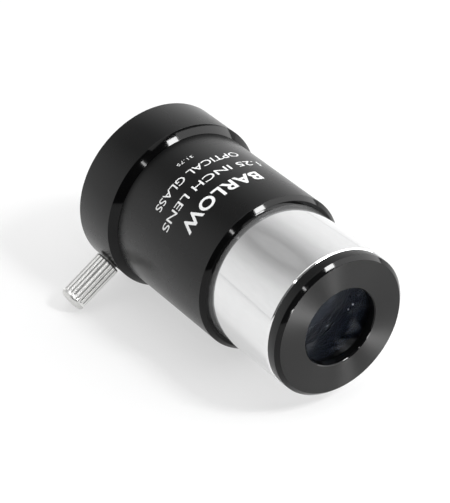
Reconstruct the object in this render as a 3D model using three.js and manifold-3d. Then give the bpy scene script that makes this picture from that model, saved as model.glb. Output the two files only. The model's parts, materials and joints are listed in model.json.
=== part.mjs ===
// A 1.25 inch Barlow lens: a negative doublet in a push-fit tube that goes between a telescope's
// focuser and an eyepiece. Millimetres, +Z up. It lies on its side with the optical axis along Y,
// and the nosepiece points to -Y. Lengths along the axis are counted back from the cell's front face.
import * as THREE from 'three';
import { mergeVertices } from 'three/addons/utils/BufferGeometryUtils.js';
import Module from 'manifold-3d';

const wasm = await Module();
wasm.setup();

// ---- driving dimensions ----
const SIDES = 64;                  // facets round each turned part
const JOINT_GAP = 0.02;            // between two faces screwed hard together
const THREAD_GAP = 0.1;            // between a male thread's crest and the wall round it
const LENGTH = 65.3;               // whole lens, front face to rear rim
const MOTION_GAP = 0.3;            // round the pieces of the thumbscrew

const NOSE_R = 15.875;             // 1.25 inch nosepiece
const NOSE_BEVEL = 0.3;
const NOSE_BORE_R = 13.6;
const NOSE_THREAD_R = 14.85;       // male thread into the body
const NOSE_THREAD_LENGTH = 7;

const CELL_R = 15.67;
const CELL_FLANGE = 2.92;          // flange thickness, front face to nosepiece
const CELL_CHAMFER = 0.83;
const CELL_HOLE_R = 8.57;
const CELL_HOLE_EDGE = 0.12;       // bright-cut edge of the hole
const CELL_THREAD_R = 14.25;
const CELL_THREAD_END = 7.2;
const CELL_NECK_R = 13.2;
const CELL_END = 11.5;
const CELL_SEAT = 1.9;             // where the doublet's front rim rests
const POCKET_R = 10.55;
const POCKET_END = 8.06;
const RING_THREAD_R = 11.1;

const LENS_R = 10.5;
const LENS_FRONT = 1.94;
const CEMENT_EDGE = 7;             // cemented surface at the lens's edge
const LENS_BACK = 8;
const FRONT_CURVE_R = 36;
const CEMENT_CURVE_R = 24;
const BACK_CURVE_R = 60;
const FRONT_DISH_R = 9.4;          // clear radius of the hollow front surface
const BACK_DISH_R = 9.8;

const RING_FRONT = 8.1;
const RING_BACK = 9.9;
const RING_HOLE_R = 8.9;
const SLOT_WIDTH = 1.2;            // spanner slots
const SLOT_DEPTH = 0.9;

const BODY_R = 17.54;
const BODY_FRONT = 22.46;
const COUNTERBORE = 0.4;           // depth of the seat in the body's front for the nosepiece's shoulder
const BODY_CHAMFER = 0.88;
const BODY_THREAD_END = 31;
const BODY_WEB_END = 33;           // the eyepiece barrel stops here
const BODY_WEB_R = 13.8;
const SOCKET_R = 15.95;
const NECK_R = 17;                 // the collar screws on to this neck
const NECK_END = 64;

const BAFFLE_FRONT = 24.6;
const BAFFLE_BACK = 28.4;
const BAFFLE_R = 13.5;
const BAFFLE_RIM_R = 12.4;
const BAFFLE_HOLE_R = 9.4;
const BAFFLE_WEB = 1.1;

const COLLAR_R = 19.04;
const COLLAR_FRONT = 52.73;
const COLLAR_BEVEL = 0.35;
const LIP_FRONT = 64.05;
const LIP_BEVEL = 0.42;

const SCREW_AT = 58.86;            // screw axis, back from the front face
const SCREW_DROP = 32.9;           // degrees that the screw points below -X
const SCREW_HOLE_R = 2.05;
const STUD_R = 1.75;
const STUD_END = 15.5;             // distances out from the optical axis
const STUD_BORE_R = 1.05;
const STUD_BORE_END = 17.1;
const HEAD_BASE = 19.45;
const HEAD_R = 2.95;
const HEAD_CHAMFER = 0.45;
const BAND_START = 29.6;           // plain band beyond the flutes
const DOME_START = 30.15;
const HEAD_END = 31.15;
const DOME_SHOULDER_R = 2.55;
const DOME_SHOULDER = 30.8;
const DOME_FLAT_R = 1.7;
const FLUTES = 18;
const FLUTE_DEPTH = 0.34;
const TIP_END = 14.6;
const TIP_R = 1.5;
const TIP_STEM_R = 0.75;

// ---- helpers ----
// A ring or disc turned about the Y axis; the outline is [radius, y] points.
function turned(outline, sides = SIDES) {
  const points = outline.map(([radius, y]) => new THREE.Vector2(radius, y));
  const onAxis = outline[0][0] === 0 && outline.at(-1)[0] === 0;
  if (!onAxis) points.push(points[0].clone());
  return new THREE.LatheGeometry(points, sides);
}

// How far a spherical surface has bent away from its vertex at a radius.
const sag = (sphereR, radius) => sphereR - Math.sqrt(sphereR ** 2 - radius ** 2);

// Points along a spherical surface between two radii. Its rim is behind its vertex where bend is 1,
// and in front of it where bend is -1.
function curve(sphereR, vertex, bend, from, to, steps = 4) {
  return Array.from({ length: steps + 1 }, (_, i) => {
    const radius = from + ((to - from) * i) / steps;
    return [radius, vertex + bend * sag(sphereR, radius)];
  });
}

function toSolid(geometry) {
  const bare = geometry.clone();
  bare.deleteAttribute('normal');
  bare.deleteAttribute('uv');
  const merged = mergeVertices(bare, 1e-4);
  const mesh = new wasm.Mesh({
    numProp: 3,
    vertProperties: new Float32Array(merged.attributes.position.array),
    triVerts: new Uint32Array(merged.index.array),
  });
  return new wasm.Manifold(mesh);
}

function toGeometry(solid) {
  const mesh = solid.getMesh();
  const geometry = new THREE.BufferGeometry();
  geometry.setAttribute('position', new THREE.BufferAttribute(mesh.vertProperties, 3));
  geometry.setIndex(new THREE.BufferAttribute(mesh.triVerts, 1));
  return geometry;
}

const cut = (geometry, ...tools) =>
  toGeometry(tools.reduce((solid, tool) => solid.subtract(toSolid(tool)), toSolid(geometry)));

const join = (...geometries) => toGeometry(geometries.map(toSolid).reduce((a, b) => a.add(b)));

// The thumbscrew's pieces are turned about Y, then laid along the screw's own axis.
const drop = THREE.MathUtils.degToRad(SCREW_DROP);
const outward = new THREE.Vector3(-Math.cos(drop), 0, -Math.sin(drop));
const alongScrew = new THREE.Matrix4().compose(
  new THREE.Vector3(0, SCREW_AT, 0),
  new THREE.Quaternion().setFromUnitVectors(new THREE.Vector3(0, 1, 0), outward),
  new THREE.Vector3(1, 1, 1),
);

function screwHole(from, to) {
  const hole = new THREE.CylinderGeometry(SCREW_HOLE_R, SCREW_HOLE_R, to - from, 24);
  hole.translate(0, (from + to) / 2, 0);
  return hole.applyMatrix4(alongScrew);
}

// ---- the pieces ----
function nosepieceTube() {
  const front = CELL_FLANGE + JOINT_GAP;
  const back = BODY_FRONT + COUNTERBORE - JOINT_GAP;
  const threadEnd = BODY_FRONT + NOSE_THREAD_LENGTH;
  return turned([
    [CELL_THREAD_R + THREAD_GAP, front],
    [NOSE_R - NOSE_BEVEL, front],
    [NOSE_R, front + NOSE_BEVEL],
    [NOSE_R, back],
    [NOSE_THREAD_R, back],
    [NOSE_THREAD_R, threadEnd],
    [NOSE_BORE_R, threadEnd],
    [NOSE_BORE_R, CELL_THREAD_END + 1],
    [CELL_THREAD_R + THREAD_GAP, CELL_THREAD_END + 1],
  ]);
}

function lensCell() {
  return turned([
    [CELL_HOLE_R + CELL_HOLE_EDGE, 0],
    [CELL_R - CELL_CHAMFER, 0],
    [CELL_R, CELL_CHAMFER],
    [CELL_R, CELL_FLANGE],
    [CELL_THREAD_R, CELL_FLANGE],
    [CELL_THREAD_R, CELL_THREAD_END],
    [CELL_NECK_R, CELL_THREAD_END],
    [CELL_NECK_R, CELL_END],
    [RING_THREAD_R + THREAD_GAP, CELL_END],
    [RING_THREAD_R + THREAD_GAP, POCKET_END],
    [POCKET_R, POCKET_END],
    [POCKET_R, CELL_SEAT],
    [CELL_HOLE_R, CELL_SEAT],
    [CELL_HOLE_R, CELL_HOLE_EDGE],
  ]);
}

const frontVertex = LENS_FRONT + sag(FRONT_CURVE_R, FRONT_DISH_R);
const cementVertex = CEMENT_EDGE - sag(CEMENT_CURVE_R, LENS_R);
const backVertex = LENS_BACK - sag(BACK_CURVE_R, BACK_DISH_R);

// Biconcave: hollow in front, and hollow behind where the flint is cemented in.
function crownElement() {
  const front = curve(FRONT_CURVE_R, frontVertex, -1, 0, FRONT_DISH_R);
  const back = curve(CEMENT_CURVE_R, cementVertex - JOINT_GAP, 1, LENS_R, 0);
  return turned([...front, [LENS_R, LENS_FRONT], ...back]);
}

// A meniscus: it bulges into the crown in front and is slightly hollow behind.
function flintElement() {
  const front = curve(CEMENT_CURVE_R, cementVertex, 1, 0, LENS_R);
  const back = curve(BACK_CURVE_R, backVertex, 1, BACK_DISH_R, 0);
  return turned([...front, [LENS_R, LENS_BACK], ...back]);
}

function lensRetainingRing() {
  const ring = turned([
    [RING_HOLE_R, RING_FRONT],
    [RING_THREAD_R, RING_FRONT],
    [RING_THREAD_R, RING_BACK],
    [RING_HOLE_R, RING_BACK],
  ]);
  const slots = new THREE.BoxGeometry(4 * RING_THREAD_R, 2 * SLOT_DEPTH, SLOT_WIDTH);
  slots.translate(0, RING_BACK, 0);
  return cut(ring, slots);
}

function baffleRing() {
  return turned([
    [BAFFLE_HOLE_R, BAFFLE_FRONT],
    [BAFFLE_R, BAFFLE_FRONT],
    [BAFFLE_R, BAFFLE_BACK],
    [BAFFLE_RIM_R, BAFFLE_BACK],
    [BAFFLE_RIM_R, BAFFLE_FRONT + BAFFLE_WEB],
    [BAFFLE_HOLE_R + BAFFLE_WEB / 2, BAFFLE_FRONT + BAFFLE_WEB],
  ]);
}

function bodyTube() {
  const tube = turned([
    [NOSE_THREAD_R + THREAD_GAP, BODY_FRONT + COUNTERBORE],
    [NOSE_R + JOINT_GAP, BODY_FRONT + COUNTERBORE],
    [NOSE_R + JOINT_GAP, BODY_FRONT],
    [BODY_R - BODY_CHAMFER, BODY_FRONT],
    [BODY_R, BODY_FRONT + BODY_CHAMFER],
    [BODY_R, COLLAR_FRONT - JOINT_GAP],
    [NECK_R, COLLAR_FRONT - JOINT_GAP],
    [NECK_R, NECK_END],
    [SOCKET_R, NECK_END],
    [SOCKET_R, BODY_WEB_END],
    [BODY_WEB_R, BODY_WEB_END],
    [BODY_WEB_R, BODY_THREAD_END],
    [NOSE_THREAD_R + THREAD_GAP, BODY_THREAD_END],
  ]);
  return cut(tube, screwHole(SOCKET_R - 2, NECK_R + 1));
}

function eyepieceCollar() {
  const collar = turned([
    [NECK_R + THREAD_GAP, COLLAR_FRONT],
    [BODY_R, COLLAR_FRONT],
    [COLLAR_R, COLLAR_FRONT + COLLAR_R - BODY_R],
    [COLLAR_R, LENGTH - COLLAR_BEVEL],
    [COLLAR_R - COLLAR_BEVEL, LENGTH],
    [SOCKET_R + LIP_BEVEL, LENGTH],
    [SOCKET_R, LENGTH - LIP_BEVEL],
    [SOCKET_R, LIP_FRONT],
    [NECK_R + THREAD_GAP, LIP_FRONT],
  ]);
  return cut(collar, screwHole(NECK_R - 1, COLLAR_R + 1));
}

// Head and stud are one turned piece; the stud's end is bored for the tip.
function thumbscrew() {
  const core = turned(
    [
      [STUD_BORE_R, STUD_END],
      [STUD_R, STUD_END],
      [STUD_R, HEAD_BASE],
      [HEAD_R - HEAD_CHAMFER, HEAD_BASE],
      [HEAD_R - FLUTE_DEPTH, HEAD_BASE + HEAD_CHAMFER],
      [HEAD_R - FLUTE_DEPTH, BAND_START],
      [HEAD_R, BAND_START],
      [HEAD_R, DOME_START],
      [DOME_SHOULDER_R, DOME_SHOULDER],
      [DOME_FLAT_R, HEAD_END - 0.1],
      [0, HEAD_END],
      [0, STUD_BORE_END],
      [STUD_BORE_R, STUD_BORE_END],
    ],
    2 * FLUTES,
  );
  const star = new THREE.Shape(
    Array.from({ length: 2 * FLUTES }, (_, i) => {
      const radius = i % 2 ? HEAD_R - FLUTE_DEPTH : HEAD_R;
      const angle = (Math.PI * i) / FLUTES;
      return new THREE.Vector2(radius * Math.cos(angle), radius * Math.sin(angle));
    }),
  );
  const fluteStart = HEAD_BASE + HEAD_CHAMFER;
  const flutes = new THREE.ExtrudeGeometry(star, {
    depth: BAND_START + 0.1 - fluteStart,
    bevelEnabled: false,
  });
  flutes.rotateX(-Math.PI / 2);
  flutes.translate(0, fluteStart, 0);
  return join(core, flutes).applyMatrix4(alongScrew);
}

function screwTip() {
  const pad = [
    [0, TIP_END],
    [TIP_R, TIP_END],
    [TIP_R, STUD_END - MOTION_GAP],
    [TIP_STEM_R, STUD_END - MOTION_GAP],
    [TIP_STEM_R, STUD_BORE_END - MOTION_GAP],
    [0, STUD_BORE_END - MOTION_GAP],
  ];
  return turned(pad, 24).applyMatrix4(alongScrew);
}

// ---- materials ----
const anodised = { color: 0x1c1d1f, roughness: 0.42, metalness: 0.6 };
const chrome = { color: 0xd8d9da, roughness: 0.12, metalness: 1 };
const nickel = { color: 0xcfcdc8, roughness: 0.22, metalness: 1 };
const glass = { color: 0x27334d, roughness: 0.02, metalness: 0, transparent: true, opacity: 0.45 };
const nylon = { color: 0xe6e2d4, roughness: 0.55, metalness: 0 };

// ---- assembly ----
const pieces = [
  ['body_tube', bodyTube(), anodised],
  ['eyepiece_collar', eyepieceCollar(), anodised],
  ['nosepiece_tube', nosepieceTube(), chrome],
  ['baffle_ring', baffleRing(), anodised],
  ['lens_cell', lensCell(), anodised],
  ['lens_retaining_ring', lensRetainingRing(), anodised],
  ['crown_element', crownElement(), glass],
  ['flint_element', flintElement(), glass],
  ['thumbscrew', thumbscrew(), nickel],
  ['screw_tip', screwTip(), nylon],
];

const barlow = new THREE.Group();
for (const [name, geometry, look] of pieces) {
  const mesh = new THREE.Mesh(geometry, new THREE.MeshStandardMaterial(look));
  mesh.name = name;
  barlow.add(mesh);
}

// The origin is under the middle of the lens, on the surface that the collar rests on.
const box = new THREE.Box3().setFromObject(barlow, true);
const middle = box.getCenter(new THREE.Vector3());
barlow.position.set(-middle.x, -middle.y, -box.min.z);

export default barlow;
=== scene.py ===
"""Looks for a 1.25 inch Barlow lens lying on its side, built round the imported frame.

Turned pieces are drawn as outlines in millimetres: radius from their own axis, and distance back
from the front face of the lens (or, for the thumbscrew's pieces, out from the optical axis).
"""
import json
import math

import bmesh
import bpy
import numpy as np
from mathutils import Matrix, Vector


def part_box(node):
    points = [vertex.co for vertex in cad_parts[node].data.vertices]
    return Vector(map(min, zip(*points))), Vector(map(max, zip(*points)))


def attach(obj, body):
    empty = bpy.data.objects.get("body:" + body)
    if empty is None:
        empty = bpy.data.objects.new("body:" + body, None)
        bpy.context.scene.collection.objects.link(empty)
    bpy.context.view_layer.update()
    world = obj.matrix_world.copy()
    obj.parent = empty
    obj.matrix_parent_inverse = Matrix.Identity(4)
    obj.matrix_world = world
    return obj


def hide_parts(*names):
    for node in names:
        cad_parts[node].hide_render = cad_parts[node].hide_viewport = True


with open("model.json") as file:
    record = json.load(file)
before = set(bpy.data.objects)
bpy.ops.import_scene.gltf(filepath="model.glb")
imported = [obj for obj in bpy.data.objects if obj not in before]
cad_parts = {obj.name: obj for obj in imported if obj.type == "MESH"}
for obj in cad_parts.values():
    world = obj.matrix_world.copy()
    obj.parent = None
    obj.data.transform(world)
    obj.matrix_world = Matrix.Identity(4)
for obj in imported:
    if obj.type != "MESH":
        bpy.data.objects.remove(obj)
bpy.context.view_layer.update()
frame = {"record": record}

MM = 0.001

# ---------------------------------------------------------------- places, from the frame
body_low, body_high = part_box("body_tube")
AXIS_X = (body_low[0] + body_high[0]) / 2
AXIS_Z = (body_low[2] + body_high[2]) / 2
FRONT_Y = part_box("lens_cell")[0][1]


def span(node):
    """Where a ring starts and ends behind the front face, and its radius, in millimetres."""
    low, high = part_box(node)
    return (low[1] - FRONT_Y) / MM, (high[1] - FRONT_Y) / MM, (high[0] - low[0]) / 2 / MM


joints = {joint["name"]: joint for joint in frame["record"]["behaviour"]["joints"]}
screw_axis = Vector(joints["screw_turn"]["axis"]).normalized()
screw_place = Vector(joints["screw_turn"]["pos_m"])

OPTICAL = Matrix.Translation((AXIS_X, FRONT_Y, AXIS_Z))
screw_turn = Vector((0, 1, 0)).rotation_difference(screw_axis)
SCREW = Matrix.Translation(screw_place) @ screw_turn.to_matrix().to_4x4()

# ---------------------------------------------------------------- sizes in millimetres
SEATED = 0.02               # gap between two faces screwed hard together
SIDES = 288                 # facets round a turned piece
TIP_SIDES = 96
BORE_SIDES = 64
EDGE = 0.06                 # rounding left by deburring an edge
ARC_STEPS = 3               # facets across that rounding
ROUNDING_ROOM = 0.45        # the most that a rounding takes of the stretch beside it
ROWS_PER_PITCH = 7          # rings of facets along one turn of a thread
THREAD_FLAT = 0.125         # half the flat bottom of a thread's groove, as a share of its pitch
THREAD_CREST = 0.4375       # from the groove's middle to the crest, likewise
BORE_CUT = 0.05             # how much shallower a thread is in a bore than on its shaft
SHARP_ANGLE = 38            # degrees; faces that meet at more than this have a crisp edge

CELL_FLANGE = 2.92
CELL_CHAMFER = 0.83
CELL_HOLE_R = 8.57
CELL_HOLE_BEVEL = 0.22
CELL_THREAD_R = 14.25
CELL_THREAD_END = 7.2
CELL_NECK_R = 13.2
CELL_SEAT = 1.9
CELL_PITCH = 0.6
CELL_CUT = 0.3
POCKET_R = 10.55
POCKET_END = 8.06
RING_THREAD_R = 11.1
RING_PITCH = 0.5
RING_CUT = 0.22
RING_HOLE_R = 8.9
SLOT_WIDTH = 1.2
SLOT_DEPTH = 0.9

LENS_R = 10.5
LENS_FRONT = 1.94
CEMENT_EDGE = 7
CEMENT_GAP = 0.02
LENS_BACK = 8
FRONT_CURVE_R = 36
CEMENT_CURVE_R = 24
BACK_CURVE_R = 60
FRONT_DISH_R = 9.4
BACK_DISH_R = 9.8

NOSE_BEVEL = 0.3
NOSE_BORE_R = 13.6
NOSE_THREAD_R = 14.85
NOSE_THREAD_END = CELL_THREAD_END + 1
THREAD_GAP = 0.1
RIB_PITCH = 0.75
RIB_DEPTH = 0.16

BODY_CHAMFER = 0.88
COUNTERBORE = 0.4
BODY_THREAD_END = 31
BODY_WEB_END = 33
BODY_WEB_R = 13.8
SOCKET_R = 15.95
NECK_R = 17
BODY_PITCH = 0.75
BODY_CUT = 0.35

COLLAR_BEVEL = 0.35
LIP_FRONT = 64.05
LIP_BEVEL = 0.42

BAFFLE_RIM_R = 12.4
BAFFLE_HOLE_R = 9.4
BAFFLE_WEB = 1.1

SCREW_HOLE_R = 2.05
COUNTERSINK = 0.15
BREAK_OUT = 2               # how far the drill goes on into the socket
CLEAR = 0.5                 # how far it starts outside the collar
STUD_R = 1.97
STUD_PITCH = 0.7
STUD_CUT = 0.32
STUD_END = 15.5
STUD_BORE_R = 1.05
STUD_BORE_END = 17.1
HEAD_BASE = 19.34
HEAD_R = 2.95
HEAD_CHAMFER = 0.3
FLUTES = 18
FLUTE_SIDES = 28            # facets across one flute
FLUTE_ROWS = 44             # rings of facets along the flutes
FLUTE_DEPTH = 0.2
FLUTE_SHARPNESS = 1.4       # 1 is a plain wave; above that the ridges are wider than the grooves
FLUTE_START = 19.1
FLUTE_RUN_IN = 0.25
FLUTE_RUN_OUT = 0.35
FLUTE_END = 29.8
DOME_START = 30.15
ROWS_START = HEAD_BASE + HEAD_CHAMFER + 0.2
ROWS_END = DOME_START - 0.1
GROOVE_SHADED = 0.95          # shares of the flutes' depth where the painted shade is darkest and the plating roughest
GROOVE_HIGHLIT = 0.4         # and where the painted highlight is lightest and the plating smoothest
DOME = [(2.95, 30.1), (2.88, 30.36), (2.7, 30.62), (2.4, 30.84), (1.9, 31.01), (1.2, 31.11),
        (0, 31.15)]
TIP_END = 14.6
TIP_R = 1.5
TIP_STEM_R = 0.75
TIP_HEAD_END = STUD_END - 0.3
TIP_STEM_END = STUD_BORE_END - 0.3


# ---------------------------------------------------------------- turned meshes
class Corner:
    """One corner of an outline, with the reach of its rounding.

    The finish, and the pitch and depth of any thread, are those of the stretch after it.
    """

    def __init__(self, radius, back, finish=None, edge=EDGE, pitch=0, depth=0):
        self.place = np.array([radius, back], float)
        self.finish, self.edge, self.pitch, self.depth = finish, edge, pitch, depth


def rounded(before, corner, after, edge):
    """Points of a small rounding in place of a sharp corner."""
    if edge <= 0 or before is None or after is None:
        return [corner]
    to_before, to_after = before - corner, after - corner
    room = ROUNDING_ROOM * min(np.linalg.norm(to_before), np.linalg.norm(to_after))
    reach = min(edge, room)
    start = corner + to_before / np.linalg.norm(to_before) * reach
    end = corner + to_after / np.linalg.norm(to_after) * reach
    steps = np.linspace(0, 1, ARC_STEPS + 1)
    return [(1 - t) ** 2 * start + 2 * t * (1 - t) * corner + t ** 2 * end for t in steps]


def thread_rows(start, end, pitch, depth, angles):
    """Rings of a helical thread. A positive depth cuts into a shaft, a negative one into a bore.

    The groove has straight flanks and a flat bottom, and runs out over one turn at each end.
    """
    length = abs(end[1] - start[1])
    count = max(2, int(length / pitch * ROWS_PER_PITCH))
    rows = []
    for t in np.linspace(0, 1, count + 1):
        radius, back = start + (end - start) * t
        phase = (back / pitch - angles / (2 * math.pi)) % 1.0
        flank = (THREAD_CREST - abs(phase - 0.5)) / (THREAD_CREST - THREAD_FLAT)
        groove = np.clip(flank, 0, 1)
        fade = min(1.0, t * length / pitch, (1 - t) * length / pitch)
        rows.append((radius - depth * groove * fade, np.full_like(angles, back)))
    return rows


def turned(name, corners, place=OPTICAL, sides=SIDES, shape=None):
    """A closed solid of revolution. shape(radius, back, angle) may press a pattern into it."""
    angles = np.arange(sides) * 2 * math.pi / sides
    solid = corners[0].place[0] == 0 and corners[-1].place[0] == 0
    rows, finishes = [], []
    for i, corner in enumerate(corners):
        first, last = i == 0, i == len(corners) - 1
        before = None if solid and first else corners[i - 1].place
        after = None if solid and last else corners[(i + 1) % len(corners)].place
        points = rounded(before, corner.place, after, corner.edge)
        for radius, back in points:
            rows.append((np.full_like(angles, radius), np.full_like(angles, back)))
            finishes.append(corner.finish)
        if corner.pitch:
            edge_after = corners[(i + 1) % len(corners)].edge
            along = (after - corner.place) / np.linalg.norm(after - corner.place)
            stop = after - along * (edge_after + EDGE)
            cut = thread_rows(points[-1] + along * EDGE, stop, corner.pitch, corner.depth, angles)
            rows += cut
            finishes += [corner.finish] * len(cut)
    radius = np.array([row[0] for row in rows])
    back = np.array([row[1] for row in rows])
    if shape:
        radius, back = shape(radius, back, angles[None, :])
    local = np.stack([radius * np.cos(angles), back, radius * np.sin(angles)], axis=-1)
    turn, shift = np.array(place.to_3x3()), np.array(place.translation)
    vertices = (local.reshape(-1, 3) * MM) @ turn.T + shift

    faces, slots = [], []
    used = list(dict.fromkeys(finishes))
    for i in range(len(rows) - 1 if solid else len(rows)):
        below = (i + 1) % len(rows)
        for j in range(sides):
            k = (j + 1) % sides
            faces.append((i * sides + j, i * sides + k, below * sides + k, below * sides + j))
            slots.append(used.index(finishes[i]))
    mesh = bpy.data.meshes.new(name)
    mesh.from_pydata(vertices.tolist(), [], faces)
    for finish in used:
        mesh.materials.append(finish)
    mesh.polygons.foreach_set("material_index", slots)
    return finished(name, mesh)


def finished(name, mesh):
    """Cleans a mesh, turns its faces outwards and makes its piece."""
    work = bmesh.new()
    work.from_mesh(mesh)
    bmesh.ops.remove_doubles(work, verts=work.verts, dist=1e-7)
    bmesh.ops.dissolve_degenerate(work, edges=work.edges, dist=1e-8)
    bmesh.ops.recalc_face_normals(work, faces=work.faces)
    work.to_mesh(mesh)
    work.free()
    mesh.shade_smooth()
    mesh.set_sharp_from_angle(angle=math.radians(SHARP_ANGLE))
    piece = bpy.data.objects.new(name, mesh)
    bpy.context.collection.objects.link(piece)
    return piece


def cut_away(piece, tool):
    """Takes the tool's solid out of the piece, for good."""
    boolean = piece.modifiers.new("cut", "BOOLEAN")
    boolean.operation, boolean.solver, boolean.object = "DIFFERENCE", "EXACT", tool
    bpy.context.view_layer.update()
    graph = bpy.context.evaluated_depsgraph_get()
    mesh = bpy.data.meshes.new_from_object(piece.evaluated_get(graph))
    piece.modifiers.clear()
    piece.data = mesh
    mesh.set_sharp_from_angle(angle=math.radians(SHARP_ANGLE))
    bpy.data.objects.remove(tool)


# ---------------------------------------------------------------- materials
def links(material):
    return material.node_tree.nodes, material.node_tree.links


def drive(material, socket, value):
    """Wires a value into that socket of the material's shader."""
    nodes, wires = links(material)
    wires.new(value, nodes["Principled BSDF"].inputs[socket])


def new_material(name, **values):
    material = bpy.data.materials.new(name)
    material.use_nodes = True
    shader = material.node_tree.nodes["Principled BSDF"]
    for socket, value in values.items():
        shader.inputs[socket.replace("_", " ")].default_value = value
    return material


def coordinates(material, scale=(1, 1, 1)):
    """Places on the object in metres, each axis multiplied by its scale."""
    nodes, wires = links(material)
    place = nodes.new("ShaderNodeTexCoord")
    mapping = nodes.new("ShaderNodeMapping")
    mapping.inputs["Scale"].default_value = scale
    wires.new(place.outputs["Object"], mapping.inputs["Vector"])
    return mapping.outputs["Vector"]


def noise(material, scale, stretch=(1, 1, 1), detail=3.0):
    """Soft random values from 0 to 1, about scale of them to the metre."""
    nodes, wires = links(material)
    texture = nodes.new("ShaderNodeTexNoise")
    texture.inputs["Scale"].default_value = scale
    texture.inputs["Detail"].default_value = detail
    wires.new(coordinates(material, stretch), texture.inputs["Vector"])
    return texture.outputs["Fac"]


def spread(material, value, low, high, start=0.0, stop=1.0):
    """Maps a value that goes from start to stop on to low to high."""
    nodes, wires = links(material)
    node = nodes.new("ShaderNodeMapRange")
    ends = {"From Min": start, "From Max": stop, "To Min": low, "To Max": high}
    for socket, end in ends.items():
        node.inputs[socket].default_value = end
    wires.new(value, node.inputs["Value"])
    return node.outputs["Result"]


def calculated(material, kind, operation, first, second):
    """A Math or VectorMath node's output. The second input may be a fixed value."""
    nodes, wires = links(material)
    node = nodes.new(kind)
    node.operation = operation
    wires.new(first, node.inputs[0])
    if isinstance(second, bpy.types.NodeSocket):
        wires.new(second, node.inputs[1])
    else:
        node.inputs[1].default_value = second
    return node.outputs["Value" if kind == "ShaderNodeMath" else "Vector"]


def tinted(material, value, dark, light):
    """A colour that goes from dark to light as the value goes from 0 to 1."""
    nodes, wires = links(material)
    node = nodes.new("ShaderNodeMix")
    node.data_type = "RGBA"
    node.inputs["A"].default_value = (*dark, 1)
    node.inputs["B"].default_value = (*light, 1)
    wires.new(value, node.inputs["Factor"])
    drive(material, "Base Color", node.outputs["Result"])


def bumped(material, value, height):
    """A bump of that height in millimetres."""
    nodes, wires = links(material)
    node = nodes.new("ShaderNodeBump")
    node.inputs["Strength"].default_value = 1.0
    node.inputs["Distance"].default_value = height * MM
    wires.new(value, node.inputs["Height"])
    drive(material, "Normal", node.outputs["Normal"])


def satin_anodised():
    """Fine-blasted aluminium under a black anodised film."""
    material = new_material("satin_anodised", IOR=1.39)
    clouds = noise(material, 90, detail=2)
    grain = noise(material, 9000, detail=1)
    tinted(material, clouds, (0.0008, 0.0009, 0.0010), (0.0013, 0.0014, 0.0015))
    drive(material, "Roughness", spread(material, clouds, 0.25, 0.30))
    bumped(material, grain, 0.0016)
    return material


def bright_cut():
    """A chamfer cut with a diamond tool before anodising and dyed black: a dark mirror."""
    material = new_material("bright_cut", IOR=1.28)
    streaks = noise(material, 400, detail=2)
    tinted(material, streaks, (0.0012, 0.0012, 0.0013), (0.0022, 0.0022, 0.0023))
    drive(material, "Roughness", spread(material, streaks, 0.06, 0.085))
    bumped(material, noise(material, 1500, detail=1), 0.0002)
    return material


def turned_face():
    """A faced-off end: grooves too fine to see spread the light across them."""
    material = new_material("turned_face", Metallic=1.0, Anisotropic=0.9, Anisotropic_Rotation=0.25)
    nodes = material.node_tree.nodes
    clouds = noise(material, 300, detail=2)
    tinted(material, clouds, (0.052, 0.052, 0.052), (0.058, 0.0578, 0.0575))
    drive(material, "Roughness", spread(material, clouds, 0.5, 0.56))
    around = nodes.new("ShaderNodeTangent")
    around.direction_type, around.axis = "RADIAL", "Y"
    drive(material, "Tangent", around.outputs["Tangent"])
    return material


def chrome_plate():
    """Bright chrome over polished brass, with faint lengthwise waves from polishing."""
    material = new_material("chrome_plate", Metallic=0.86)
    waves = noise(material, 240, stretch=(1, 0.45, 1), detail=1)
    scuffs = noise(material, 1400, stretch=(1, 0.25, 1), detail=3)
    tinted(material, scuffs, (0.76, 0.763, 0.766), (0.82, 0.822, 0.824))
    drive(material, "Roughness", spread(material, scuffs, 0.05, 0.09))
    bumped(material, waves, 0.022)
    return material


def nickel_plate():
    """Nickel over turned brass, greyer and softer than the chrome."""
    material = new_material("nickel_plate", Metallic=1.0)
    clouds = noise(material, 700, detail=1)
    tinted(material, clouds, (0.62, 0.62, 0.605), (0.68, 0.68, 0.665))
    drive(material, "Roughness", spread(material, clouds, 0.3, 0.36))
    return material


def fluted_nickel_painted_shade():
    """Nickel on the flutes: rougher in the grooves, painted shade there, painted highlights on
    ridges.
    """
    material = new_material("fluted_nickel_painted_shade", Metallic=1.0)
    nodes, wires = links(material)
    place = coordinates(material)
    from_axis = calculated(material, "ShaderNodeVectorMath", "SUBTRACT", place, screw_place)
    across = calculated(material, "ShaderNodeVectorMath", "CROSS_PRODUCT", from_axis, screw_axis)
    radius = nodes.new("ShaderNodeVectorMath")
    radius.operation = "LENGTH"
    wires.new(across, radius.inputs[0])
    low, high = ((HEAD_R - share * FLUTE_DEPTH) * MM for share in (GROOVE_SHADED, GROOVE_HIGHLIT))
    height = spread(material, radius.outputs["Value"], 0.0, 1.0, low, high)
    # painted shade and highlight: colour goes from dark grey deep in the grooves to near white on
    # the ridges
    tinted(material, height, (0.30, 0.30, 0.295), (0.97, 0.97, 0.955))
    drive(material, "Roughness", spread(material, height, 0.5, 0.32))
    return material


def flat_black():
    """Matt blackening on inner walls, against stray light."""
    material = new_material("flat_black", IOR=1.3, Specular_IOR_Level=0.15)
    clouds = noise(material, 500, detail=3)
    tinted(material, clouds, (0.002, 0.002, 0.0022), (0.004, 0.004, 0.0043))
    drive(material, "Roughness", spread(material, clouds, 0.8, 0.95))
    bumped(material, noise(material, 6000, detail=1), 0.003)
    return material


def socket_black():
    """The eyepiece socket's bored wall: anodised over fine boring marks."""
    material = new_material("socket_black", IOR=1.5)
    marks = noise(material, 5000, stretch=(0.02, 1, 0.02), detail=1)
    tinted(material, marks, (0.004, 0.004, 0.0042), (0.007, 0.007, 0.0072))
    drive(material, "Roughness", spread(material, marks, 0.3, 0.42))
    bumped(material, marks, 0.002)
    return material


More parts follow.
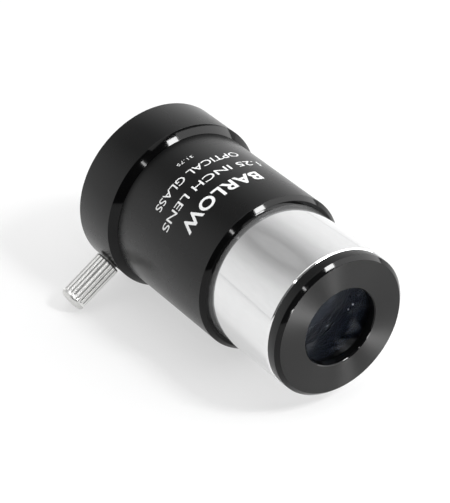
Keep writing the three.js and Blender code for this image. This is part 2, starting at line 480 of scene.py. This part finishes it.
def coated_glass(name, ior, tint):
    """Optical glass with an anti-reflection coating of that reflected tint, and a little dust."""
    material = new_material(name, IOR=ior, Specular_Tint=(*tint, 1))
    nodes, wires = links(material)
    motes = nodes.new("ShaderNodeTexVoronoi")
    motes.inputs["Scale"].default_value = 540
    wires.new(coordinates(material), motes.inputs["Vector"])
    chance = nodes.new("ShaderNodeSeparateColor")
    wires.new(motes.outputs["Color"], chance.inputs["Color"])
    size = spread(material, chance.outputs["Red"], 0.0, 0.13, start=0.88)
    mote = calculated(material, "ShaderNodeMath", "LESS_THAN", motes.outputs["Distance"], size)
    smears = noise(material, 240, stretch=(1, 1, 2.5), detail=1.5)
    haze = spread(material, smears, 1.0, 0.96, start=0.54, stop=0.74)
    dust = spread(material, mote, 1.0, 0.25)
    clear = calculated(material, "ShaderNodeMath", "MULTIPLY", dust, haze)
    drive(material, "Transmission Weight", clear)
    drive(material, "Roughness", spread(material, smears, 0.0, 0.07))
    film = noise(material, 60, detail=1)
    tinted(material, film, (0.84, 0.88, 0.93), (0.93, 0.95, 0.97))
    return material


def cement():
    """The joint between the two elements: matched to the glass, so light goes straight on."""
    material = new_material("cement", IOR=1.0, Transmission_Weight=1.0, Roughness=0.0)
    tinted(material, noise(material, 80, detail=1), (0.97, 0.98, 0.98), (1.0, 1.0, 1.0))
    return material


def white_nylon():
    material = new_material("white_nylon", IOR=1.5, Subsurface_Weight=0.1)
    clouds = noise(material, 900, detail=2)
    tinted(material, clouds, (0.76, 0.74, 0.68), (0.86, 0.85, 0.80))
    drive(material, "Roughness", spread(material, clouds, 0.42, 0.55))
    return material


def white_print():
    """Pad-printed ink, slightly uneven."""
    material = new_material("white_print", IOR=1.45)
    cover = noise(material, 2500, detail=3)
    tinted(material, cover, (0.70, 0.71, 0.71), (0.80, 0.80, 0.80))
    drive(material, "Roughness", spread(material, cover, 0.45, 0.6))
    return material


SATIN = satin_anodised()
BRIGHT = bright_cut()
FACED = turned_face()
CHROME = chrome_plate()
NICKEL = nickel_plate()
FLUTED = fluted_nickel_painted_shade()
MATT = flat_black()
BORED = socket_black()
CROWN_GLASS = coated_glass("crown_glass", 1.2, (0.05, 0.25, 0.7))
FLINT_GLASS = coated_glass("flint_glass", 1.24, (0.08, 0.25, 0.6))
CEMENT = cement()
NYLON = white_nylon()
INK = white_print()


def stands_for(piece, node, body):
    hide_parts(node)
    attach(piece, body)
    return piece


# ---------------------------------------------------------------- the lens cell
def lens_cell():
    start, end, widest = span("lens_cell")
    ring_r = RING_THREAD_R + THREAD_GAP
    cell = turned("lens_cell_fine", [
        Corner(CELL_HOLE_R, start + CELL_HOLE_BEVEL, BRIGHT, 0.03),
        Corner(CELL_HOLE_R + CELL_HOLE_BEVEL, start, FACED, 0.02),
        Corner(widest - CELL_CHAMFER, start, BRIGHT, 0.02),
        Corner(widest, CELL_CHAMFER, SATIN, 0.03),
        Corner(widest, CELL_FLANGE, SATIN),
        Corner(CELL_THREAD_R, CELL_FLANGE, SATIN, 0.02, CELL_PITCH, CELL_CUT),
        Corner(CELL_THREAD_R, CELL_THREAD_END, SATIN, 0.25),
        Corner(CELL_NECK_R, CELL_THREAD_END, SATIN),
        Corner(CELL_NECK_R, end, SATIN, 0.2),
        Corner(ring_r, end, MATT, 0.15),
        Corner(ring_r, POCKET_END, MATT),
        Corner(POCKET_R, POCKET_END, MATT),
        Corner(POCKET_R, CELL_SEAT, MATT),
        Corner(CELL_HOLE_R, CELL_SEAT, BRIGHT),
    ])
    return stands_for(cell, "lens_cell", "cell")


def retaining_ring():
    start, end, widest = span("lens_retaining_ring")
    ring = turned("lens_retaining_ring_fine", [
        Corner(RING_HOLE_R, start, MATT, 0.1),
        Corner(widest, start, MATT, 0.15, RING_PITCH, RING_CUT),
        Corner(widest, end, MATT, 0.15),
        Corner(RING_HOLE_R, end, MATT, 0.3),
    ])
    bpy.ops.mesh.primitive_cube_add(size=1, location=(AXIS_X, FRONT_Y + end * MM, AXIS_Z))
    slots = bpy.context.object
    slots.scale = (4 * widest * MM, 2 * SLOT_DEPTH * MM, SLOT_WIDTH * MM)
    slots.data.materials.append(MATT)
    cut_away(ring, slots)
    return stands_for(ring, "lens_retaining_ring", "cell")


def sag(sphere_r, radius):
    return sphere_r - math.sqrt(sphere_r ** 2 - radius ** 2)


def curve(sphere_r, vertex, bend, start, end, glass, steps=24):
    """Corners along a spherical surface, from one radius to another."""
    radii = [start + (end - start) * i / steps for i in range(steps + 1)]
    return [Corner(radius, vertex + bend * sag(sphere_r, radius), glass, 0) for radius in radii]


FRONT_VERTEX = LENS_FRONT + sag(FRONT_CURVE_R, FRONT_DISH_R)
CEMENT_VERTEX = CEMENT_EDGE - sag(CEMENT_CURVE_R, LENS_R)
BACK_VERTEX = LENS_BACK - sag(BACK_CURVE_R, BACK_DISH_R)


def crown_element():
    front = curve(FRONT_CURVE_R, FRONT_VERTEX, -1, 0, FRONT_DISH_R, CROWN_GLASS)
    back = curve(CEMENT_CURVE_R, CEMENT_VERTEX - CEMENT_GAP, 1, LENS_R, 0, CEMENT)
    crown = turned("crown_element_fine", [*front, Corner(LENS_R, LENS_FRONT, MATT, 0.1), *back])
    return stands_for(crown, "crown_element", "doublet")


def flint_element():
    front = curve(CEMENT_CURVE_R, CEMENT_VERTEX, 1, 0, LENS_R, CEMENT)
    front[-1].finish = MATT
    back = curve(BACK_CURVE_R, BACK_VERTEX, 1, BACK_DISH_R, 0, FLINT_GLASS)
    rim = Corner(LENS_R, LENS_BACK, FLINT_GLASS, 0.1)
    flint = turned("flint_element_fine", [*front, rim, *back])
    return stands_for(flint, "flint_element", "doublet")


# ---------------------------------------------------------------- the housing
def nosepiece_tube():
    start, end, widest = span("nosepiece_tube")
    shoulder = span("body_tube")[0] + COUNTERBORE - SEATED
    thread_r = CELL_THREAD_R + THREAD_GAP
    tube = turned("nosepiece_tube_fine", [
        Corner(thread_r, start, CHROME, 0.1),
        Corner(widest - NOSE_BEVEL, start, CHROME, 0.05),
        Corner(widest, start + NOSE_BEVEL, CHROME, 0.08),
        Corner(widest, shoulder, CHROME),
        Corner(NOSE_THREAD_R, shoulder, CHROME, EDGE, BODY_PITCH, BODY_CUT),
        Corner(NOSE_THREAD_R, end, MATT, 0.2),
        Corner(NOSE_BORE_R, end, BORED, 0.2, RIB_PITCH, -RIB_DEPTH),
        Corner(NOSE_BORE_R, NOSE_THREAD_END, MATT),
        Corner(thread_r, NOSE_THREAD_END, MATT, EDGE, CELL_PITCH, BORE_CUT - CELL_CUT),
    ])
    return stands_for(tube, "nosepiece_tube", "housing")


def baffle_ring():
    start, end, widest = span("baffle_ring")
    ring = turned("baffle_ring_fine", [
        Corner(BAFFLE_HOLE_R, start, MATT, 0.03),
        Corner(widest, start, MATT),
        Corner(widest, end, MATT, 0.15),
        Corner(BAFFLE_RIM_R, end, MATT, 0.2),
        Corner(BAFFLE_RIM_R, start + BAFFLE_WEB, MATT, 0.3),
        Corner(BAFFLE_HOLE_R + BAFFLE_WEB / 2, start + BAFFLE_WEB, MATT, 0.1),
    ])
    return stands_for(ring, "baffle_ring", "housing")


def screw_bore():
    """A cutter for the screw hole, with a small countersink at the collar's outside."""
    outside = span("eyepiece_collar")[2]
    return turned("screw_bore", [
        Corner(0, SOCKET_R - BREAK_OUT, BORED, 0),
        Corner(SCREW_HOLE_R, SOCKET_R - BREAK_OUT, BORED, 0),
        Corner(SCREW_HOLE_R, outside - COUNTERSINK, SATIN, 0),
        Corner(SCREW_HOLE_R + COUNTERSINK + CLEAR, outside + CLEAR, SATIN, 0),
        Corner(0, outside + CLEAR, SATIN, 0),
    ], SCREW, BORE_SIDES)


def body_tube():
    start, end, widest = span("body_tube")
    shoulder = span("eyepiece_collar")[0] - SEATED
    thread_r = NOSE_THREAD_R + THREAD_GAP
    seat_r = span("nosepiece_tube")[2] + SEATED
    tube = turned("body_tube_fine", [
        Corner(thread_r, start + COUNTERBORE, SATIN),
        Corner(seat_r, start + COUNTERBORE, SATIN, 0.02),
        Corner(seat_r, start, BRIGHT, 0.02),
        Corner(widest - BODY_CHAMFER, start, BRIGHT, 0.03),
        Corner(widest, start + BODY_CHAMFER, SATIN, 0.03),
        Corner(widest, shoulder, SATIN, 0.12),
        Corner(NECK_R, shoulder, SATIN),
        Corner(NECK_R, end, SATIN, 0.1),
        Corner(SOCKET_R, end, BORED, 0.15),
        Corner(SOCKET_R, BODY_WEB_END, BORED, 0.1),
        Corner(BODY_WEB_R, BODY_WEB_END, MATT, 0.2),
        Corner(BODY_WEB_R, BODY_THREAD_END, MATT),
        Corner(thread_r, BODY_THREAD_END, MATT, EDGE, BODY_PITCH, BORE_CUT - BODY_CUT),
    ])
    cut_away(tube, screw_bore())
    return stands_for(tube, "body_tube", "housing")


def eyepiece_collar():
    start, end, widest = span("eyepiece_collar")
    inner = NECK_R + THREAD_GAP
    body_r = span("body_tube")[2]
    collar = turned("eyepiece_collar_fine", [
        Corner(inner, start, BRIGHT),
        Corner(body_r, start, BRIGHT, 0.03),
        Corner(widest, start + widest - body_r, SATIN, 0.03),
        Corner(widest, end - COLLAR_BEVEL, BRIGHT, 0.03),
        Corner(widest - COLLAR_BEVEL, end, FACED, 0.03),
        Corner(SOCKET_R + LIP_BEVEL, end, BRIGHT, 0.05),
        Corner(SOCKET_R, end - LIP_BEVEL, BORED, 0.05),
        Corner(SOCKET_R, LIP_FRONT, BORED),
        Corner(inner, LIP_FRONT, BORED),
    ])
    cut_away(collar, screw_bore())
    return stands_for(collar, "eyepiece_collar", "housing")


# ---------------------------------------------------------------- the thumbscrew
def fluted(radius, back, angle):
    """Presses straight rounded flutes into the head, running out before the plain end band."""
    groove = (0.5 + 0.5 * np.cos(FLUTES * angle)) ** FLUTE_SHARPNESS
    run_in = np.clip((back - FLUTE_START) / FLUTE_RUN_IN, 0, 1)
    run_out = np.clip((FLUTE_END - back) / FLUTE_RUN_OUT, 0, 1)
    on_head = radius > HEAD_R - 2 * HEAD_CHAMFER
    return radius - FLUTE_DEPTH * groove * run_in * run_out * on_head, back


def thumbscrew():
    flutes = np.linspace(ROWS_START, ROWS_END, FLUTE_ROWS + 1)
    screw = turned("thumbscrew_fine", [
        Corner(0, STUD_BORE_END, NICKEL, 0),
        Corner(STUD_BORE_R, STUD_BORE_END, NICKEL),
        Corner(STUD_BORE_R, STUD_END, NICKEL),
        Corner(STUD_R, STUD_END, NICKEL, 0.2, STUD_PITCH, STUD_CUT),
        Corner(STUD_R, HEAD_BASE, NICKEL, 0.1),
        Corner(HEAD_R - HEAD_CHAMFER, HEAD_BASE, NICKEL, 0.05),
        Corner(HEAD_R, HEAD_BASE + HEAD_CHAMFER, FLUTED, 0.15),
        *[Corner(HEAD_R, back, FLUTED, 0) for back in flutes],
        *[Corner(radius, back, NICKEL, 0.1 if radius else 0) for radius, back in DOME],
    ], SCREW, FLUTES * FLUTE_SIDES, fluted)
    return stands_for(screw, "thumbscrew", "screw")


def screw_tip():
    tip = turned("screw_tip_fine", [
        Corner(0, TIP_END, NYLON, 0),
        Corner(TIP_R, TIP_END, NYLON, 0.25),
        Corner(TIP_R, TIP_HEAD_END, NYLON, 0.08),
        Corner(TIP_STEM_R, TIP_HEAD_END, NYLON),
        Corner(TIP_STEM_R, TIP_STEM_END, NYLON, 0.15),
        Corner(0, TIP_STEM_END, NYLON, 0),
    ], SCREW, TIP_SIDES)
    return stands_for(tip, "screw_tip", "tip")


# ---------------------------------------------------------------- the printing
INK_RISE = 0.012            # how far the ink stands off the body
BENDS = 80                  # strips that a line of print is cut into, to bend round the body


def printed_line(words, back, middle, arc, height, weight=0.0, spacing=1.0):
    """A line of generic lettering bent round the body.

    It is height millimetres tall, back millimetres behind the front face, and spans arc degrees
    round the axis with its middle at that angle.
    """
    text = bpy.data.curves.new("line", "FONT")
    text.body, text.offset, text.space_character, text.resolution_u = words, weight, spacing, 6
    holder = bpy.data.objects.new("line", text)
    bpy.context.collection.objects.link(holder)
    bpy.context.view_layer.update()
    graph = bpy.context.evaluated_depsgraph_get()
    mesh = bpy.data.meshes.new_from_object(holder.evaluated_get(graph))
    bpy.data.objects.remove(holder)
    work = bmesh.new()
    work.from_mesh(mesh)
    low_x, high_x = min(v.co.x for v in work.verts), max(v.co.x for v in work.verts)
    low_y, high_y = min(v.co.y for v in work.verts), max(v.co.y for v in work.verts)
    for step in range(1, BENDS):
        cut = low_x + (high_x - low_x) * step / BENDS
        everything = work.verts[:] + work.edges[:] + work.faces[:]
        bmesh.ops.bisect_plane(work, geom=everything, plane_co=(cut, 0, 0), plane_no=(1, 0, 0))
    reach = (span("body_tube")[2] + INK_RISE) * MM
    for v in work.verts:
        across = (v.co.x - low_x) / (high_x - low_x) - 0.5
        up = (v.co.y - low_y) / (high_y - low_y) - 0.5
        angle = math.radians(middle + across * arc)
        v.co = (AXIS_X + reach * math.cos(angle), FRONT_Y + (back - up * height) * MM,
                AXIS_Z + reach * math.sin(angle))
    work.to_mesh(mesh)
    work.free()
    return mesh


def printing():
    """Generic words and sizes only, as a thin layer of ink."""
    lines = [
        printed_line("BARLOW", back=32.8, middle=110, arc=68, height=3.3,
                     weight=0.024, spacing=1.08),
        printed_line("1.25 INCH LENS", back=38.2, middle=107.5, arc=90, height=1.9, weight=0.004),
        printed_line("OPTICAL GLASS", back=42.5, middle=107.7, arc=73.5, height=1.9, weight=0.004),
        printed_line("31.75", back=46.35, middle=105.8, arc=13, height=0.85, spacing=1.1),
    ]
    work = bmesh.new()
    for mesh in lines:
        work.from_mesh(mesh)
    mesh = bpy.data.meshes.new("printed_marking")
    work.to_mesh(mesh)
    work.free()
    mesh.materials.append(INK)
    piece = bpy.data.objects.new("printed_marking", mesh)
    bpy.context.collection.objects.link(piece)
    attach(piece, "housing")


# ---------------------------------------------------------------- camera
VIEW_AZIMUTH = -35.57       # degrees; the nosepiece comes towards the viewer and to the right
VIEW_ELEVATION = 33.8
VIEW_DISTANCE = 438.81      # millimetres, from the lens to the plane of the front face's centre
AIM_LEFT, AIM_UP = 22.66, 14.88     # from the front face's centre to the middle of the view
SENSOR_WIDTH, LENS_LENGTH = 36, 160.57


def camera():
    azimuth, elevation = math.radians(VIEW_AZIMUTH), math.radians(VIEW_ELEVATION)
    ahead = Vector((-math.sin(azimuth) * math.cos(elevation),
                    math.cos(azimuth) * math.cos(elevation), -math.sin(elevation)))
    right = Vector((math.cos(azimuth), math.sin(azimuth), 0))
    up = right.cross(ahead)
    face = Vector((AXIS_X, FRONT_Y, AXIS_Z))
    data = bpy.data.cameras.new("camera")
    data.sensor_width, data.lens = SENSOR_WIDTH, LENS_LENGTH
    data.clip_start, data.clip_end = 0.01, 10
    holder = bpy.data.objects.new("camera", data)
    holder.location = face + (up * AIM_UP - right * AIM_LEFT - ahead * VIEW_DISTANCE) * MM
    holder.rotation_mode = "QUATERNION"
    holder.rotation_quaternion = ahead.to_track_quat("-Z", "Y")
    bpy.context.collection.objects.link(holder)
    bpy.context.scene.camera = holder


# ---------------------------------------------------------------- studio
FLOOR_SIZE = 4              # metres
FLOOR_DROP = 0.0001         # metres below the lowest point, so that the two don't share a face
LAMP_DISTANCE = 0.9         # metres
DARK_PATCH = (-0.1, 0.676, 0.727)   # the way to its middle
PATCH_LEVELS = [            # brightness of the room by cosine of the angle from there
    (0.60, 0.97), (0.80, 0.84), (0.93, 0.54), (0.985, 0.28), (0.996, 0.37)]
ROOM_DARK_FROM = -0.55      # how far towards the back a direction points where the dark part ends,
ROOM_PALE_FROM = 0.15       # and where the room has its full brightness
ROOM_DARKEST = 0.03


def soft_box(name, direction, width, height, radiance, distance=LAMP_DISTANCE,
             across=None, only=None):
    """A flat, even lamp in that direction from the object, facing it.

    Its width runs along the direction across, and with only it lights just that piece.
    """
    direction = Vector(direction).normalized()
    data = bpy.data.lights.new(name, "AREA")
    data.shape, data.size, data.size_y = "RECTANGLE", width, height
    data.energy = radiance * math.pi * width * height
    lamp = bpy.data.objects.new(name, data)
    lamp.location = Vector((AXIS_X, 0, AXIS_Z)) + direction * distance
    facing = direction.to_track_quat("Z", "Y").to_matrix()
    if across:
        side = Vector(across) - direction * Vector(across).dot(direction)
        side.normalize()
        facing = Matrix((side, direction.cross(side), direction)).transposed()
    lamp.rotation_mode = "QUATERNION"
    lamp.rotation_quaternion = facing.to_quaternion()
    bpy.context.collection.objects.link(lamp)
    if only:
        lit = bpy.data.collections.new(name + "_lit")
        lit.objects.link(only)
        lamp.light_linking.receiver_collection = lit


def room():
    """A pale room with a dark patch high up behind the object, and darkness in front of it."""
    world = bpy.data.worlds.new("room")
    bpy.context.scene.world = world
    world.use_nodes = True
    nodes, wires = world.node_tree.nodes, world.node_tree.links
    sky = nodes["Background"]
    place = nodes.new("ShaderNodeTexCoord")
    parts = nodes.new("ShaderNodeSeparateXYZ")
    wires.new(place.outputs["Generated"], parts.inputs["Vector"])
    toward = nodes.new("ShaderNodeVectorMath")
    toward.operation = "DOT_PRODUCT"
    toward.inputs[1].default_value = Vector(DARK_PATCH).normalized()
    wires.new(place.outputs["Generated"], toward.inputs[0])
    patch = nodes.new("ShaderNodeValToRGB")
    stops = patch.color_ramp.elements
    for stop, (near, level) in zip((stops[0], stops[1]), (PATCH_LEVELS[0], PATCH_LEVELS[-1])):
        stop.position, stop.color = near, (level, level, level, 1)
    for near, level in PATCH_LEVELS[1:-1]:
        stops.new(near).color = (level, level, level, 1)
    wires.new(toward.outputs["Value"], patch.inputs["Fac"])
    depth = nodes.new("ShaderNodeMapRange")
    depth.interpolation_type = "SMOOTHSTEP"
    depth.inputs["From Min"].default_value = ROOM_DARK_FROM
    depth.inputs["From Max"].default_value = ROOM_PALE_FROM
    depth.inputs["To Min"].default_value = ROOM_DARKEST
    depth.inputs["To Max"].default_value = 1.0
    wires.new(parts.outputs["Y"], depth.inputs["Value"])
    light = nodes.new("ShaderNodeMix")
    light.data_type, light.blend_type = "RGBA", "MULTIPLY"
    light.inputs["Factor"].default_value = 1
    wires.new(patch.outputs["Color"], light.inputs["A"])
    wires.new(depth.outputs["Result"], light.inputs["B"])
    wires.new(light.outputs["Result"], sky.inputs["Color"])
    sky.inputs["Strength"].default_value = 1.0


def floor():
    """A plain white table top, lit from below so that shadows on it stay faint."""
    bpy.ops.mesh.primitive_plane_add(size=FLOOR_SIZE, location=(0, 0, -FLOOR_DROP))
    table = bpy.context.object
    table.name = "floor"
    material = new_material("floor", Roughness=0.9, Specular_IOR_Level=0.1,
                            Emission_Color=(1, 1, 1, 1), Emission_Strength=0.56)
    tinted(material, noise(material, 3, detail=1), (0.325, 0.325, 0.325), (0.345, 0.345, 0.345))
    table.data.materials.append(material)


def lights(cell):
    soft_box("key", (0.784, -0.427, 0.4505), width=1.12, height=0.34, radiance=4.2,
             across=(-0.652, -0.495, 0.665))
    soft_box("flash", (0.2565, -0.6307, 0.7306), width=0.17, height=0.17, radiance=60,
             across=(-1, -0.25, 0.1))
    soft_box("gap", (-0.3246, -0.7326, 0.5975), width=0.035, height=0.2, radiance=24,
             across=(-0.58, 0.1, -0.5))
    soft_box("low", (-0.42, -0.9, 0.12), width=0.3, height=0.2, radiance=48, only=cell)
    soft_box("overhead", (0.05, -0.1, 0.99), width=1.0, height=1.0, radiance=1.4, distance=1.0)


# ---------------------------------------------------------------- assembly
camera()
cell = lens_cell()
retaining_ring()
crown_element()
flint_element()
nosepiece_tube()
baffle_ring()
body_tube()
eyepiece_collar()
thumbscrew()
screw_tip()
printing()
floor()
room()
lights(cell)

bpy.context.scene.view_settings.view_transform = "Standard"
